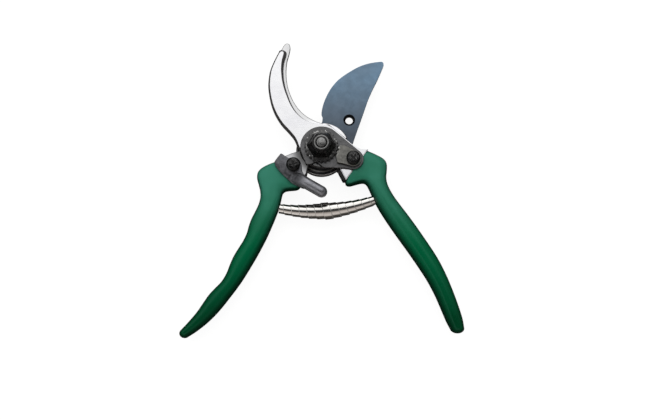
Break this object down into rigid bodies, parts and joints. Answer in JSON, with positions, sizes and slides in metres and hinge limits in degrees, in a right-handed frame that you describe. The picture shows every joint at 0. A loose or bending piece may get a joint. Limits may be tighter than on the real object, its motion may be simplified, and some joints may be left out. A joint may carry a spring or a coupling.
{
  "type": "pruning shears",
  "caption": "Bypass pruning shears: hooked jaw and curved blade on a bolt pivot, volute spring, thumb latch and green vinyl handles.",
  "frame": {"origin": "centre of the underside of the pivot bolt's head, on the pivot axis", "axes": "+Z along the pivot bolt towards its nut, +Y towards the jaws"},
  "size_m": [0.1728, 0.188, 0.0288],
  "materials": {
    "polished_alloy": "polished",
    "green_vinyl": "glossy dipped vinyl",
    "dark_plate": "dark phosphated steel",
    "black_steel": "black oxide, semi-gloss",
    "bronze": "sintered bronze",
    "rubber": "matt",
    "spring_steel": "bright spring steel",
    "coated_blade": "blue-grey non-stick coating"
  },
  "bodies": {
    "hook_side": {"hook_body": "polished_alloy", "right_grip": "green_vinyl", "catch_plate": "dark_plate", "lock_segment": "dark_plate", "segment_screw": "black_steel", "pivot_nut": "black_steel", "pivot_bolt": "black_steel", "pivot_bushing": "bronze", "rubber_buffer": "rubber", "right_spring_stud": "spring_steel", "volute_spring": "spring_steel"},
    "blade_side": {"handle_body": "polished_alloy", "left_grip": "green_vinyl", "left_spring_stud": "spring_steel", "cutting_blade": "coated_blade", "blade_rivet_front": "spring_steel", "blade_rivet_rear": "spring_steel"},
    "latch": {"thumb_latch": "dark_plate", "latch_washer": "spring_steel", "latch_screw": "black_steel"}
  },
  "joints": [
    {"name": "jaw_pivot", "type": "hinge", "parent": "hook_side", "child": "blade_side", "pos_m": [0, 0, 0], "axis": [0, 0, 1], "range_deg": [0, 52], "stiffness_Nm_per_rad": 1, "springref_deg": -14.32, "deforming": ["volute_spring"]},
    {"name": "latch_pivot", "type": "hinge", "parent": "blade_side", "child": "latch", "pos_m": [-0.0174, -0.0118, 0.0171], "axis": [0, 0, 1], "range_deg": [-66, 0]}
  ]
}
